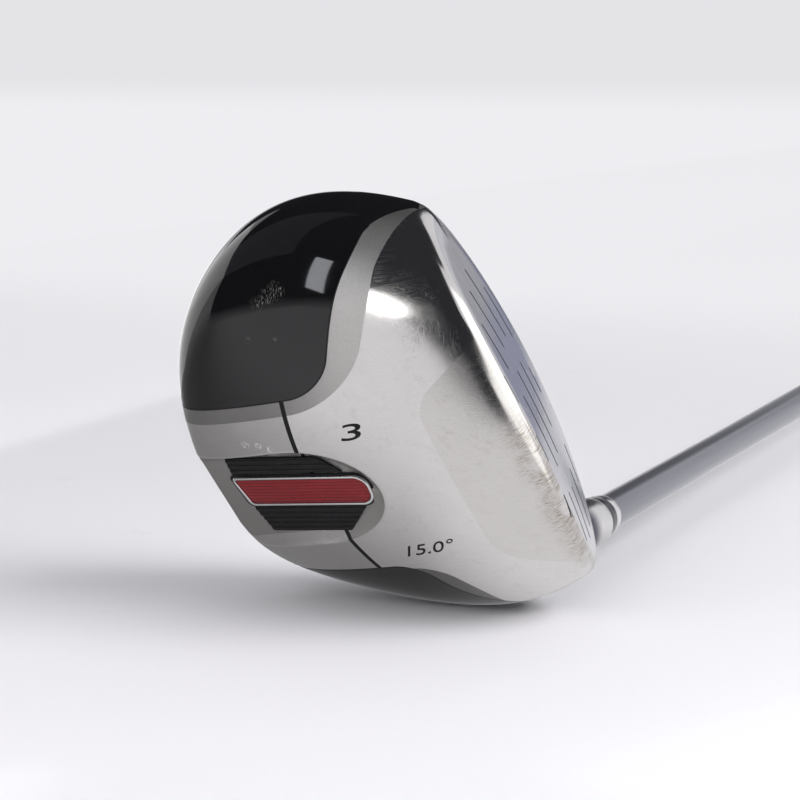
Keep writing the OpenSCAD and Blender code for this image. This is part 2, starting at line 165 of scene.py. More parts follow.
# Painted shadow: in reflections, the table is darker to the left of and in front of the club.
right_side = paper.node("ShaderNodeMath", {"operation": "MAXIMUM"}, {0: paper_x, 1: 0})
shade_front = paper_y + 0.532 - paper_x * 0.75 - right_side * 0.85
contact_shade = (paper.ramp(shade_front, -0.035, 0.020) * paper.ramp(paper_y, -0.42, -0.50)
                 * paper.ramp(paper_x, -0.30, -0.12))
# Painted shade: the camera sees the backdrop a little darker higher up.
backdrop_shade = paper.ramp(paper_z, 0.02, 0.12) * paper_seen
paper_pale = paper.node("ShaderNodeEmission", {}, {
    "Color": (0.86, 0.855, 0.885, 1),
    "Strength": 1 - contact_shade * paper_mirrored * 0.65 - backdrop_shade * 0.10})
paper_far = (paper.ramp(paper_y, -0.52, 0.15) + paper.ramp(paper_y, -1.0, -1.6)
             + paper.ramp(paper_x, -0.6, -1.2) + paper.ramp(paper_x, 0.9, 1.5)) * 0.95
paper_mix = paper.node("ShaderNodeMixShader", {}, {
    0: paper_far * paper_seen + paper_mirrored * 0.92, 1: paper_matt, 2: paper_pale})
paper.node("ShaderNodeOutputMaterial", {}, {"Surface": paper_mix})


def pick(piece, test):
    """In edit mode, select the vertices that pass a test on their place."""
    bpy.ops.object.mode_set(mode="EDIT")
    bpy.ops.mesh.select_mode(type="VERT")
    bpy.ops.mesh.select_all(action="DESELECT")
    bpy.ops.object.mode_set(mode="OBJECT")
    for vertex in piece.data.vertices:
        vertex.select = test(vertex.co)
    bpy.ops.object.mode_set(mode="EDIT")


table_size, sweep_start, sweep_radius, sweep_steps, backdrop_h = 12.0, 3.0, 1.1, 18, 2.0
bpy.ops.mesh.primitive_plane_add(size=1)
table = bpy.context.object
table.name = "table"
bpy.ops.object.mode_set(mode="EDIT")
bpy.ops.transform.resize(value=(table_size, table_size, 1))
bpy.ops.transform.translate(value=(0, sweep_start - table_size / 2, 0))
pick(table, lambda co: co.y > sweep_start - 0.01)
for k in range(sweep_steps):
    low, high = (radians(90) * (k + share) / sweep_steps for share in (0, 1))
    rise = (0, sweep_radius * (sin(high) - sin(low)), sweep_radius * (cos(low) - cos(high)))
    bpy.ops.mesh.extrude_region_move(TRANSFORM_OT_translate={"value": rise})
bpy.ops.mesh.extrude_region_move(TRANSFORM_OT_translate={"value": (0, 0, backdrop_h)})
bpy.ops.object.mode_set(mode="OBJECT")
bpy.ops.object.shade_smooth()
table.data.materials.append(material("table_paper"))


# ------------------------------
# Studio light: a soft key lamp from the right, a wide lamp above, and cards that only reflections
# see. Dark cards stand in front and overhead; bright ones show as windows in the toe and the edge,
# and a grey and a blue one behind the club show in its face.
def soft_lamp(name, place, aim, size, power):
    bpy.ops.object.light_add(type="AREA", location=place)
    lamp = bpy.context.object
    lamp.name = name
    lamp.rotation_euler = (Vector(aim) - Vector(place)).to_track_quat("-Z", "Y").to_euler()
    lamp.data.shape = "RECTANGLE"
    lamp.data.size, lamp.data.size_y = size
    lamp.data.energy = power
    lamp.visible_camera = False
    lamp.visible_glossy = False


head_middle = (0.0, -0.52, 0.05)
soft_lamp("key_lamp", (0.80, -0.62, 0.72), head_middle, (0.5, 0.5), 9.5)
soft_lamp("wide_lamp", (0.1, -0.7, 1.8), head_middle, (2.0, 2.0), 8)
soft_lamp("front_lamp", (-0.15, -1.35, 0.55), head_middle, (0.6, 0.6), 3.5)


def tint(colour, factor):
    return [c * factor for c in colour]


def card(name, outline, colour, strength=1.0, fade=None):
    """A sheet that glows and that only reflections see; it can fade out in y, left of a place in x."""
    bpy.ops.mesh.primitive_circle_add(vertices=len(outline), fill_type="NGON")
    sheet = bpy.context.object
    sheet.name = name
    for vertex, corner in zip(sheet.data.vertices, outline):
        vertex.co = corner
    finish = new_finish(name)
    weave = finish.noise(finish.place(), 40)
    glow = finish.node("ShaderNodeEmission", {}, {"Strength": strength, "Color": finish.blend(
        weave, tint(colour, 0.9), tint(colour, 1.1))})
    if fade:
        gone = (finish.ramp(finish.axis(finish.place(), "Y"), *fade[0])
                * finish.ramp(finish.axis(finish.place(), "X"), *fade[1]))
        clear = finish.node("ShaderNodeBsdfTransparent", {}, {})
        glow = finish.node("ShaderNodeMixShader", {}, {0: gone, 1: glow, 2: clear})
    finish.node("ShaderNodeOutputMaterial", {}, {"Surface": glow})
    sheet.data.materials.append(material(name))
    for ray in ("camera", "diffuse", "transmission", "volume_scatter", "shadow"):
        setattr(sheet, "visible_" + ray, False)


def flat(height, *corners):
    return [(x, y, height) for x, y in corners]


def wall(depth, *corners):
    return [(x, depth, z) for x, z in corners]


def upright(start, end, low, high):
    """The outline of a card that stands between two places on the table."""
    return [(*start, low), (*end, low), (*end, high), (*start, high)]


black_cloth, white = (0.030, 0.031, 0.036), (1.0, 1.0, 1.0)
ceiling, front, rear = 3.2, -1.6, 1.8
dark_h, side_h, window_h = 0.002, 0.004, 0.006
card("front_card", wall(front, (-0.6, 0), (-0.6, ceiling), (4.0, ceiling), (1.6, 0)), black_cloth)
card("front_left_card", wall(front, (-2.2, 0), (-3.0, 0.5), (-9.0, ceiling), (-0.6, ceiling), (-0.6, 0)),
     black_cloth, 6)
card("ceiling_card", flat(ceiling, (-9.0, front), (-4.0, rear), (0.15, rear), (0.5, 1.0), (4.6, 0.7),
                          (4.6, front)), black_cloth)
card("back_card", upright((-4.0, rear), (0.15, rear), 0.95, ceiling), black_cloth)
card("back_low_card", upright((-1.2, rear), (0.2, rear), 0.42, 0.95), black_cloth, 3)
card("floor_card", flat(
    dark_h, (-2.2, front), (-0.17, -0.64), (-0.055, -0.65), (-0.018, -0.632), (-0.008, -0.638),
    (0.004, -0.604), (0.01, -0.584), (0.02, -0.567), (0.053, -0.575), (0.065, -0.60), (0.9, -0.85),
    (1.6, front)), black_cloth, fade=((-0.67, -0.635), (0.0, -0.02)))
card("window_card", flat(window_h, (-0.21, -1.06), (-0.12, -0.92), (-0.048, -0.667), (-0.066, -0.684)),
     (0.92, 0.94, 1.0), 5.5)
card("toe_card", flat(window_h, (-0.03, -0.685), (-0.02, -0.678), (-0.009, -0.652), (-0.009, -0.636),
                      (-0.019, -0.64)), white, 6)
card("edge_card", upright((0.95, -0.80), (0.75, 0.30), 0.0, 0.42), white, 1.8)
card("edge_floor_card", flat(side_h, (0.065, -0.60), (0.9, -0.85), (0.9, 0.0), (0.10, -0.52)), white, 1.5)
card("grey_card", upright((-0.3, 0.9), (0.34, 0.9), 0.20, 0.40), (0.46, 0.46, 0.48))
card("blue_card", upright((-0.3, 0.9), (0.34, 0.9), 0.0, 0.20), (0.34, 0.35, 0.45))
card("left_card", upright((-9.6, -8.0), (-9.6, 8.0), -1.0, 5.0), white, 1.8)
card("left_floor_card", flat(side_h, (-9.6, -8.0), (-9.6, 8.0), (-0.6, 8.0), (-0.2, -0.55), (-2.3, -1.6)),
     white, 1.6)

bpy.context.scene.world = bpy.data.worlds.new("studio")
world = Finish(bpy.context.scene.world)
seen = (world.ray("Camera") + world.ray("Glossy")) * 0.57 + 0.28
sky = world.node("ShaderNodeBackground", {}, {"Color": (0.97, 0.97, 1.0, 1), "Strength": seen})
world.node("ShaderNodeOutputWorld", {}, {"Surface": sky})


# ------------------------------
# Outer skin of the head, one smooth form from the face round to the trailing edge. On the real
# club it is cast and forged steel; here it is laid out once and then cut into the shells.
head_depth = 82.5
lie, roll = 58, -13.4
axis_heel, axis_back = 31.7, 20.8
axis_place = (26.8316, -528.562, 14.5114)
face_low, face_mid, loft, face_radius, roll_radius = 3, 18, 15, 280, 300
lip_angle = degrees(asin(4.5 / head_depth))
face_wall = 2.6
shell_walls = (1.4, 3.2, 0.9, 2.4)
low_line = (2, 3, 3, 9)
row_frame = (Matrix.Scale(0.001, 4) @ Matrix.Translation(axis_place)
             @ Matrix.Rotation(radians(roll), 4, "Y") @ Matrix.Rotation(radians(-lie), 4, "X")
             @ Matrix.Rotation(radians(-90), 4, "Z") @ Matrix.Translation((axis_heel, axis_back, 0)))


def curve(controls, share):
    a, b, c, d = controls
    return a * (1 - share)**3 + 3 * b * share * (1 - share)**2 + 3 * c * share**2 * (1 - share) + d * share**3


def edge_inset(depth, radius):
    return radius - np.sqrt(radius**2 - np.maximum(radius - depth, 0)**2)


def face_back(x, z):
    """How far the lofted, bulged face lies behind the leading edge."""
    bulge = x**2 / (2 * face_radius)
    roll_back = ((z - face_mid)**2 - (face_mid - face_low)**2) / (2 * roll_radius)
    return (z - face_low) * tan(radians(loft)) + bulge + roll_back


def section_points(turn, around, walls=(0, 0, 0, 0)):
    """Points of the head, turn degrees from the face to the back and around degrees round the section."""
    side_wall, sole_wall, crown_wall, back_wall = walls
    share = turn / 90
    depth = (head_depth - back_wall) * np.sin(np.radians(turn))
    side_inset = edge_inset(depth, 3)
    narrowing = np.cos(np.radians(turn))
    toe = (curve((48.5, 73.5, 57, 75), share) - side_wall) * narrowing**0.85 - side_inset
    heel = (curve((47.5, 75, 37, 76), share) - side_wall) * narrowing**0.63 - side_inset
    low = curve(low_line, share) + edge_inset(depth, 2.6) + sole_wall
    high = curve((31, 46, 36, 20), share) - edge_inset(depth, 1.6) - crown_wall
    toe_girth, heel_girth = curve((22, 20.5, 16.5, 14), share), curve((21, 19, 17.5, 11.5), share)
    across, up = np.cos(np.radians(around)), np.sin(np.radians(around))
    power = np.where(up < 0, 2.45, 2.2)
    radius = (np.abs(across)**power + np.abs(up)**power)**(-1 / power)
    across, up = across * radius, up * radius
    middle = (toe_girth + heel_girth) / 2
    girth = middle + (np.where(across >= 0, toe_girth, heel_girth) - middle) * np.abs(across)**(power / 2)
    half_height = np.maximum(np.where(up < 0, girth - low, high - girth), 0.4)
    x = curve((0, 0, 2.5, -2.5), share) + np.where(across >= 0, toe, heel) * across
    z = girth + half_height * up
    fade = np.maximum(0, 1 - np.sin(np.radians(turn)) / 0.95)**1.5
    return np.stack([x, -depth - fade * face_back(x, z), z], -1)


def face_points(outline, share, back):
    x = outline[..., 0] * share
    z = face_mid + (outline[..., 2] - face_mid) * share
    return np.stack([x, -back - face_back(x, z), z], -1)


def outer_points(row, around):
    """The skin: rows from -1 to 0 are shares of the face, later rows are degrees to the back."""
    outline = section_points(np.zeros_like(row), around)
    on_face = face_points(outline, row + 1, 0)
    return np.where((row <= 0)[..., None], on_face, section_points(np.maximum(row, 0), around))


def inner_points(row, around):
    """The inside of the walls, row for row with the skin."""
    start = degrees(asin(face_wall / head_depth))
    body = section_points(np.maximum(row, start), around, shell_walls)
    on_face = face_points(section_points(np.full_like(row, start), around, shell_walls), row + 1, face_wall)
    return np.where((row <= 0)[..., None], on_face, body)


edge_depths = np.concatenate([2.6 * (1 - np.cos(np.radians(np.linspace(8, 90, 10)))), (3.0, 3.5, 4.0)])
skin_rows = np.concatenate([np.linspace(-1, 0, 29), np.degrees(np.arcsin(edge_depths / head_depth)),
                            np.linspace(lip_angle, 89.3, 165)])
round_steps = 320
bpy.ops.mesh.primitive_grid_add(x_subdivisions=round_steps, y_subdivisions=len(skin_rows) - 1, size=1)
skin_object = bpy.context.object
skin = bmesh.new()
skin.from_mesh(skin_object.data)
bpy.data.objects.remove(skin_object)
row_layer = skin.verts.layers.float.new("row")
round_layer = skin.verts.layers.float.new("round")
for vertex in skin.verts:
    vertex[row_layer] = skin_rows[round((vertex.co.y + 0.5) * (len(skin_rows) - 1))]
    vertex[round_layer] = 90 + 360 * (vertex.co.x + 0.5)


def skin_layout():
    skin.verts.ensure_lookup_table()
    skin.verts.index_update()
    return (np.array([v[row_layer] for v in skin.verts], float),
            np.array([v[round_layer] for v in skin.verts], float))


def cut_skin(line, within=None):
    """Split the skin along the line where a function of the head's x, y, z is zero."""
    row, around = skin_layout()
    points = outer_points(row, around)
    value = line(*points.T)
    value[np.abs(value) < 1e-4] = 0
    inside = np.ones(len(row), bool) if within is None else within(*points.T)
    ends = np.array([[v.index for v in e.verts] for e in skin.edges])
    crossing = (value[ends].prod(axis=1) < 0) & inside[ends].all(axis=1)
    edges = [e for e, crossed in zip(skin.edges, crossing) if crossed]
    first, last = ends[crossing].T

    def between(values):
        return values[first] + (values[last] - values[first]) * share

    near, far = np.zeros(len(edges)), np.ones(len(edges))
    for _ in range(24):
        share = (near + far) / 2
        same = line(*outer_points(between(row), between(around)).T) * value[first] > 0
        near, far = np.where(same, share, near), np.where(same, far, share)
    share = (near + far) / 2
    on_line = {v for v in skin.verts if value[v.index] == 0 and inside[v.index]}
    for edge, edge_share, *place in zip(edges, share, between(row), between(around)):
        _, vertex = bmesh.utils.edge_split(edge, edge.verts[0], edge_share)
        vertex[row_layer], vertex[round_layer] = place
        on_line.add(vertex)
    skin.faces.index_update()
    for face in sorted({f for v in on_line for f in v.link_faces}, key=lambda f: f.index):
        ends = [v for v in face.verts if v in on_line]
        if len(ends) == 2 and not any(ends[1] in e.verts for e in ends[0].link_edges):
            bmesh.utils.face_split(face, *ends)


# The lines on the real head: where paint, blasted bands, satin panel, seam and recess begin.
# Each is a function of the place on the head, below zero inside its field.
def rounded_corner(first, second, radius):
    """Two edges that meet in a rounded corner, as distances that are negative inside."""
    a, b = first + radius, second + radius
    return np.hypot(np.maximum(a, 0), np.maximum(b, 0)) + np.minimum(np.maximum(a, b), 0) - radius


def smooth_turn(first, second, width, side):
    """The larger (side 1) or smaller (side -1) of two lines, eased where they cross."""
    return (first + second + side * np.sqrt((first - second)**2 + width**2)) / 2


def slope_line(x, at_x, at_y, slope):
    return at_y + (x - at_x) * tan(radians(slope))


def paint_line(x, y, z):
    return 21.5 + y * 7.5 / head_depth - z


def toe_skirt(x, y, z):
    front = smooth_turn(slope_line(x, 21, -40.5, 27), slope_line(x, 44, -28.8, 50), 4, 1)
    front = front + 0.59 * np.maximum(0, z - 12.5)**1.4
    return rounded_corner(21 - x, (y - front) * cos(radians(27)), 8)


def heel_skirt(x, y, z):
    front = smooth_turn(slope_line(-x, 30.5, -43, 22), slope_line(-x, 43, -37.9, 50), 4, 1)
    return rounded_corner(30.5 + x, (y - front) * cos(radians(22)), 5)


def black_field(*place):
    return np.minimum(paint_line(*place), np.minimum(toe_skirt(*place), heel_skirt(*place)))


def toe_band(x, y, z):
    front = slope_line(x, 23.6, -31.2, 31) + 0.5 * np.maximum(0, z - 8.5)
    return rounded_corner(17 - x, (y - front) * cos(radians(31)), 14)


def heel_band(x, y, z):
    front = smooth_turn(slope_line(-x, 32, -37.6, 32), slope_line(-x, 43.3, -30.5, 13), 2, -1)
    return rounded_corner(31.5 + x, (y - front) * cos(radians(25)), 5)


def satin_field(x, y, z):
    panel = rounded_corner(rounded_corner(-21.8 - y, 0.845 * x - 0.535 * y - 24.1, 5),
                           -0.92 * x - 0.39 * y - 36.67, 5)
    return np.maximum(panel, y + x**2 / (2 * face_radius) + 1.1)


recess_x, recess_end, ledge_w, sole_top = -6.3, -80.6, 3.2, 14
recess_half_w, nose_start, nose_len = 14, -60, 20.5
seam_middle_y, seam_radius = 40.7, 95
hosel_foot, hosel_cut_r, well_outside = 15, 6.2, 50.0


def recess_field(x, y, z):
    along = np.maximum(y - nose_start, 0) / nose_len
    return (np.hypot((x - recess_x) / recess_half_w, along) - 1) * recess_half_w


def ledge_field(x, y, z):
    """The sloped heel side of the recess."""
    return np.maximum(x - recess_x, -ledge_w - recess_field(x, y, z))


def seam_distance(x, y, z):
    return np.hypot(x - recess_x, y - seam_middle_y) - seam_radius


def hosel_field(x, y, z):
    side = (x + axis_heel) * sin(radians(lie)) + z * cos(radians(lie))
    along = z * sin(radians(lie)) - (x + axis_heel) * cos(radians(lie))
    return np.where(along > hosel_foot, np.hypot(side, y + axis_back) - hosel_cut_r, well_outside)


def below_paint(*place):
    return black_field(*place) > -2


def on_sole(x, y, z):
    return below_paint(x, y, z) & (z < sole_top)


def grown(field, margin):
    """A field whose edge is moved outward by a margin."""
    return lambda *place: field(*place) - margin


lip_w, paint_groove_w, seam_w = 0.4, 0.35, 1.1
fields = {"black": black_field, "hosel": hosel_field, "toe_band": toe_band, "heel_band": heel_band,
          "front": seam_distance, "seam_front": grown(seam_distance, seam_w),
          "recess": recess_field, "lip": grown(recess_field, lip_w), "ledge": ledge_field,
          "satin": satin_field, "groove": grown(black_field, paint_groove_w)}
limits = {"black": None, "hosel": None, "toe_band": below_paint, "heel_band": below_paint}
for name, field in fields.items():
    cut_skin(field, limits.get(name, on_sole))

skin_row, skin_round = skin_layout()
for vertex, point in zip(skin.verts, outer_points(skin_row, skin_round)):
    vertex.co = point
bmesh.ops.remove_doubles(skin, verts=skin.verts, dist=0.0005)
back_edges = [e for e in skin.edges if e.is_boundary]
back_cap = bmesh.ops.contextual_create(skin, geom=back_edges)["faces"][0]
cap_ends = [v for v in back_cap.verts if abs(black_field(*v.co)) < 0.002]
bmesh.utils.face_split(back_cap, cap_ends[0], cap_ends[-1])
bmesh.ops.recalc_face_normals(skin, faces=skin.faces)
skin.normal_update()

skin_row, skin_round = skin_layout()
levels = {"skin": np.array([v.co for v in skin.verts]),
          "inner": inner_points(skin_row, skin_round)}
recess_y, recess_tilt = -39.5, 4.5
recess_floor_z = curve(low_line, degrees(asin(-recess_y / head_depth)) / 90) + 1.3
levels["floor"] = levels["skin"].copy()
skin_x, skin_y, skin_z = levels["skin"].T
floor_depth = np.maximum(0, recess_floor_z - (skin_y - recess_y) * tan(radians(recess_tilt)) - skin_z)
rise_w = np.where(skin_x < recess_x, ledge_w, 1.6)
levels["floor"][:, 2] += floor_depth * np.clip(-recess_field(skin_x, skin_y, skin_z) / rise_w, 0, 1)**0.7
levels["floor"][:, 1] = np.maximum(skin_y, recess_end)
skin_normals = np.array([v.normal for v in skin.verts])
skin_faces = [[v.index for v in f.verts] for f in skin.faces]

# The edge between the sole and the face is rolled over softly, most at the toe, so that the shading
# turns over a few millimetres: the normals near it are averaged along the way from sole to face.
edge_row, edge_reach = 28, 9
round_grid = np.arange(90, 451)
grid = outer_points(*np.meshgrid(skin_rows, round_grid, indexing="ij"))
grid_normals = np.cross(np.gradient(grid, axis=0), np.gradient(grid, axis=1))
grid_normals /= np.linalg.norm(grid_normals, axis=-1, keepdims=True) + 1e-9
run = np.zeros(grid.shape[:2])
run[1:] = np.cumsum(np.linalg.norm(np.diff(grid, axis=0), axis=-1), axis=0)
run -= run[edge_row]
toe_share = np.clip(np.cos(np.radians(round_grid)), 0, 1)
roll_w = 1.6 + 0.8 * toe_share
toe_top = np.clip((round_grid - 345) / 25, 0, 1)
roll_start = 1.6 * toe_share**2 - 0.5 + 3.2 * toe_top
soft_normals = np.empty_like(grid_normals)
for i in range(len(skin_rows)):
    weight = np.exp(-((run - run[i] - roll_start) / roll_w)**2 / 2) * np.gradient(run, axis=0)
    soft_normals[i] = np.sum(weight[..., None] * grid_normals, axis=0)
grid_i = np.interp(skin_row, skin_rows, np.arange(len(skin_rows)))
grid_j = np.clip(skin_round - 90, 0, 360)
low_i, low_j = np.minimum(grid_i.astype(int), len(skin_rows) - 2), np.minimum(grid_j.astype(int), 359)


def from_grid(field):
    """Values of a field on the grid at the skin's vertices, in between the grid's points."""
    share_i, share_j = grid_i - low_i, grid_j - low_j
    if field.ndim == 3:
        share_i, share_j = share_i[:, None], share_j[:, None]
    return ((field[low_i, low_j] * (1 - share_i) + field[low_i + 1, low_j] * share_i) * (1 - share_j)
            + (field[low_i, low_j + 1] * (1 - share_i) + field[low_i + 1, low_j + 1] * share_i) * share_j)


rolled = from_grid(soft_normals)
rolled *= np.sign(np.sum(rolled * skin_normals, axis=1, keepdims=True))
rolled /= np.linalg.norm(rolled, axis=1, keepdims=True)
rolled_share = np.clip((edge_reach - np.abs(from_grid(run))) / 3, 0, 1)[:, None]
skin_normals = skin_normals * (1 - rolled_share) + rolled * rolled_share
skin_normals /= np.linalg.norm(skin_normals, axis=1, keepdims=True)
face_middles = np.array([f.calc_center_median() for f in skin.faces]).T
face_rows = np.array([np.mean(skin_row[f]) for f in skin_faces])
skin.free()

zone = {name: field(*face_middles) < 0 for name, field in fields.items()}
zone["cup"] = face_rows < lip_angle
zone["face"] = face_rows < 0
for name in ("recess", "lip", "groove", "satin"):
    zone[name] &= face_middles[2] < sole_top
zone["lip"] &= ~zone["recess"]
zone["band"] = zone["toe_band"] | zone["heel_band"]


def fit(piece, slot, *nodes):
    """Make a finished piece ride on the club, in place of its plain solid where it has one."""
    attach(piece, "root")
    if nodes:
        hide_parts(*nodes)


def shell(name, slot, members, finish_of):
    """One shell of the head, closed by its inner wall, from the skin faces that belong to it."""
    sunk = zone["recess"] & ~zone["cup"]
    index, places, polygons, looks, edges = {}, [], [], [], {}

    def add(corners, look):
        """A polygon from corners that are each a vertex of the skin and a level."""
        for corner in corners:
            if corner not in index:
                index[corner] = len(places)
                places.append(levels[corner[1]][corner[0]])
        polygons.append([index[corner] for corner in corners])
        looks.append(look)

    for number in np.flatnonzero(members):
        corners = skin_faces[number]
        level = "floor" if sunk[number] else "skin"
        add([(v, level) for v in corners], finish_of(number))
        add([(v, "inner") for v in reversed(corners)], "steel_inside")
        for pair in zip(corners, corners[1:] + corners[:1]):
            edges[pair] = level
    outer_count = len(polygons)
    for (a, b), level in edges.items():
        other = edges.get((b, a))
        if other is None:
            add([(b, level), (a, level), (a, "inner"), (b, "inner")], "steel_inside")
        elif level == "skin" and other == "floor":
            add([(b, "skin"), (a, "skin"), (a, "floor"), (b, "floor")], "steel_recess")

    mesh = bpy.data.meshes.new(name)
    mesh.from_pydata([row_frame @ Vector(p) for p in places], [], polygons)
    finishes = list(dict.fromkeys(looks))
    for finish in finishes:
        mesh.materials.append(material(finish))
    mesh.polygons.foreach_set("material_index", [finishes.index(look) for look in looks])
    mesh.shade_smooth()
    mesh.set_sharp_from_angle(angle=radians(35))
    turn = row_frame.to_3x3().normalized()
    vertex_of = {place: vertex for (vertex, level), place in index.items() if level == "skin"}
    normals = []
    for number, polygon in enumerate(mesh.polygons):
        on_skin = number < outer_count and all(v in vertex_of for v in polygon.vertices)
        for v in polygon.vertices:
            normals.append(turn @ Vector(skin_normals[vertex_of[v]]) if on_skin else (0, 0, 0))
    mesh.normals_split_custom_set(normals)
    piece = bpy.data.objects.new(name, mesh)
    bpy.context.scene.collection.objects.link(piece)
    fit(piece, slot, name)


# ------------------------------
# Face cup: the forged hitting face with a short lip all round, welded to the body in front.
# Steel, brushed on the face, with three groups of fine score lines.
head_spot, head_turn, head_scale = row_frame.decompose()
head_turn = head_turn.to_euler("XYZ")


def head_finish(name):
    """A finish that is laid out in millimetres of the head: x to the toe, y to the target, z up."""
    finish = new_finish(name)
    return finish, finish.place(head_spot, head_turn, head_scale)


def strokes(finish, place, scale, turn=0, shift=0, detail=3, rough=0.6):
    """Noise drawn out into strokes, turned by degrees about the head's z."""
    drawn_out = finish.place((shift, -shift, shift), (0, 0, radians(turn)), scale, place)
    return finish.noise(drawn_out, 1, detail, rough)


def hairlines(finish, place, turn, length, width, amount, seed):
    """Thin scratches in one direction, from 0 to 1."""
    fine = strokes(finish, place, (length, width, 60), turn, seed, 1, 0.5)
    return finish.ramp(fine, 0.70 - amount, 0.76 - amount)


def spot(finish, place, middle, reach):
    """A soft round spot on the head, from 0 to 1."""
    away = finish.node("ShaderNodeVectorMath", {"operation": "DISTANCE"}, {0: place, 1: middle}, "Value")
    return finish.ramp(away, reach, reach * 0.4)


def cast_steel(name, colour, roughness, scratch, worn=False, brushed=0.0, chips=()):
    """Finished stainless steel with hairlines, soft stains and a little unevenness."""
    finish, place = head_finish(name)
    swirl = finish.node("ShaderNodeTexNoise", {}, {"Vector": place, "Scale": 0.06, "Detail": 0}, "Color")
    curved = finish.node("ShaderNodeVectorMath", {"operation": "MULTIPLY_ADD"},
                         {0: swirl, 1: (26, 26, 0), 2: place})
    lines = 0
    for turn, length, seed in ((24, 6, 3.1), (-41, 5, 17.4), (78, 7, 29.8), (120, 5, 41.3)):
        lines = lines + hairlines(finish, curved, turn, length, 0.055, 0.035, seed)
    lines = lines * finish.ramp(finish.noise(place, 0.16, 3), 0.35, 0.62) * scratch
    cloud = finish.noise(place, 0.13, 4, 0.6)
    stain = finish.ramp(finish.noise(place, 0.30, 6, 0.70), 0.52, 0.75)
    brush = strokes(finish, place, (0.22, 6, 60))
    base = finish.blend(cloud, tint(colour, 0.93), tint(colour, 1.05))
    base = finish.blend(stain * 0.3, base, (colour[0] * 0.74, colour[1] * 0.71, colour[2] * 0.67))
    base = finish.blend(finish.ramp(brush, 0.35, 0.7) * 0.12, base, tint(colour, 0.75))
    base = finish.blend(lines * 0.12, base, tint(colour, 0.68))
    if worn:
        streaks = finish.ramp(strokes(finish, place, (0.16, 2.2, 60), -14, 0, 4, 0.7), 0.40, 0.66)
        patches = finish.ramp(finish.noise(place, 0.22, 3), 0.32, 0.56)
        edge = finish.ramp(finish.axis(place, "Y"), -9, -2) * finish.ramp(finish.axis(place, "X"), 12, 0)
        base = finish.blend(streaks * edge * patches, base, (0.27, 0.215, 0.16))
    if brushed:
        across_face = finish.ramp(strokes(finish, place, (14, 60, 0.16)), 0.35, 0.68)
        base = finish.blend(across_face * brushed, base, tint(colour, 0.6))
    for middle, reach in chips:
        flakes = finish.ramp(finish.noise(place, 2.2, 3, 0.7), 0.48, 0.56)
        base = finish.blend(spot(finish, place, middle, reach) * flakes, base, (0.95, 0.95, 0.97))
    finish.surface(base, roughness + lines * 0.18 + (cloud - 0.5) * 0.06 + stain * 0.05,
                   finish.bump(brush + lines, 0.02 * scratch, 0.0002), metallic=1.0)


cast_steel("steel_polished", (0.72, 0.70, 0.685), 0.14, 1.0, worn=True)
cast_steel("steel_satin", (0.68, 0.66, 0.635), 0.21, 0.8, worn=True)
cast_steel("steel_face", (0.64, 0.64, 0.67), 0.17, 0.6, brushed=0.4)
cast_steel("steel_rear", (0.56, 0.545, 0.53), 0.28, 0.7, chips=(
    ((10.9, -65.4, 4.3), 1.3), ((10.3, -62.3, 4.0), 1.2), ((8.8, -59.9, 3.8), 1.3)))
# Painted highlight: the narrow lip round the recess has a steel tone of its own, which stands in for the
# light that a rounded edge catches.
cast_steel("steel_lip", (0.66, 0.645, 0.625), 0.30, 0.4)
cast_steel("steel_inside", (0.32, 0.31, 0.30), 0.5, 0.5)


def blasted_steel(name, colour, roughness, ends=0.0):
    """Steel blasted with fine beads: a dull even speckle, with painted shade that darkens it towards its
    ends.
    """
    finish, place = head_finish(name)
    speckle = finish.noise(place, 3.4, 3, 0.7)
    cloud = finish.noise(place, 0.12, 2)
    base = finish.blend(finish.ramp(speckle, 0.3, 0.7), tint(colour, 0.90), tint(colour, 1.07))
    # Painted shade: by the share in ends, the colour darkens towards the top, the rear and the heel end.
    end = (finish.ramp(finish.axis(place, "Z"), 9, 18) + finish.ramp(finish.axis(place, "Y"), -24, -60)
           + finish.ramp(finish.axis(place, "X"), -18, -36) * 0.95)
    base = finish.blend(end * ends, base, tint(colour, 0.3))
    finish.surface(base, roughness + (cloud - 0.5) * 0.15, finish.bump(speckle, 0.07, 0.0002), metallic=0.85)


# The blasted band carries painted shade at its ends; the recess floor has none.
blasted_steel("steel_blasted", (0.59, 0.575, 0.555), 0.42, 0.85)
blasted_steel("steel_recess", (0.35, 0.34, 0.325), 0.44)


def grained(name, dark, light, scale, detail, rough, roughness, spread, relief=None, **more):
    """A plain finish whose colour, roughness and relief follow one fine noise."""
    finish = new_finish(name)
    grain = finish.noise(finish.place(), scale, detail, rough)
    finish.surface(finish.blend(grain, dark, light), roughness + grain * spread,
                   finish.bump(grain, *relief) if relief else None, **more)


grained("fill_black", (0.0042, 0.0042, 0.0048), (0.0105, 0.0105, 0.012), 900, 4, 0.6, 0.4, 0.2,
        (0.1, 0.0003), specular=0.2)

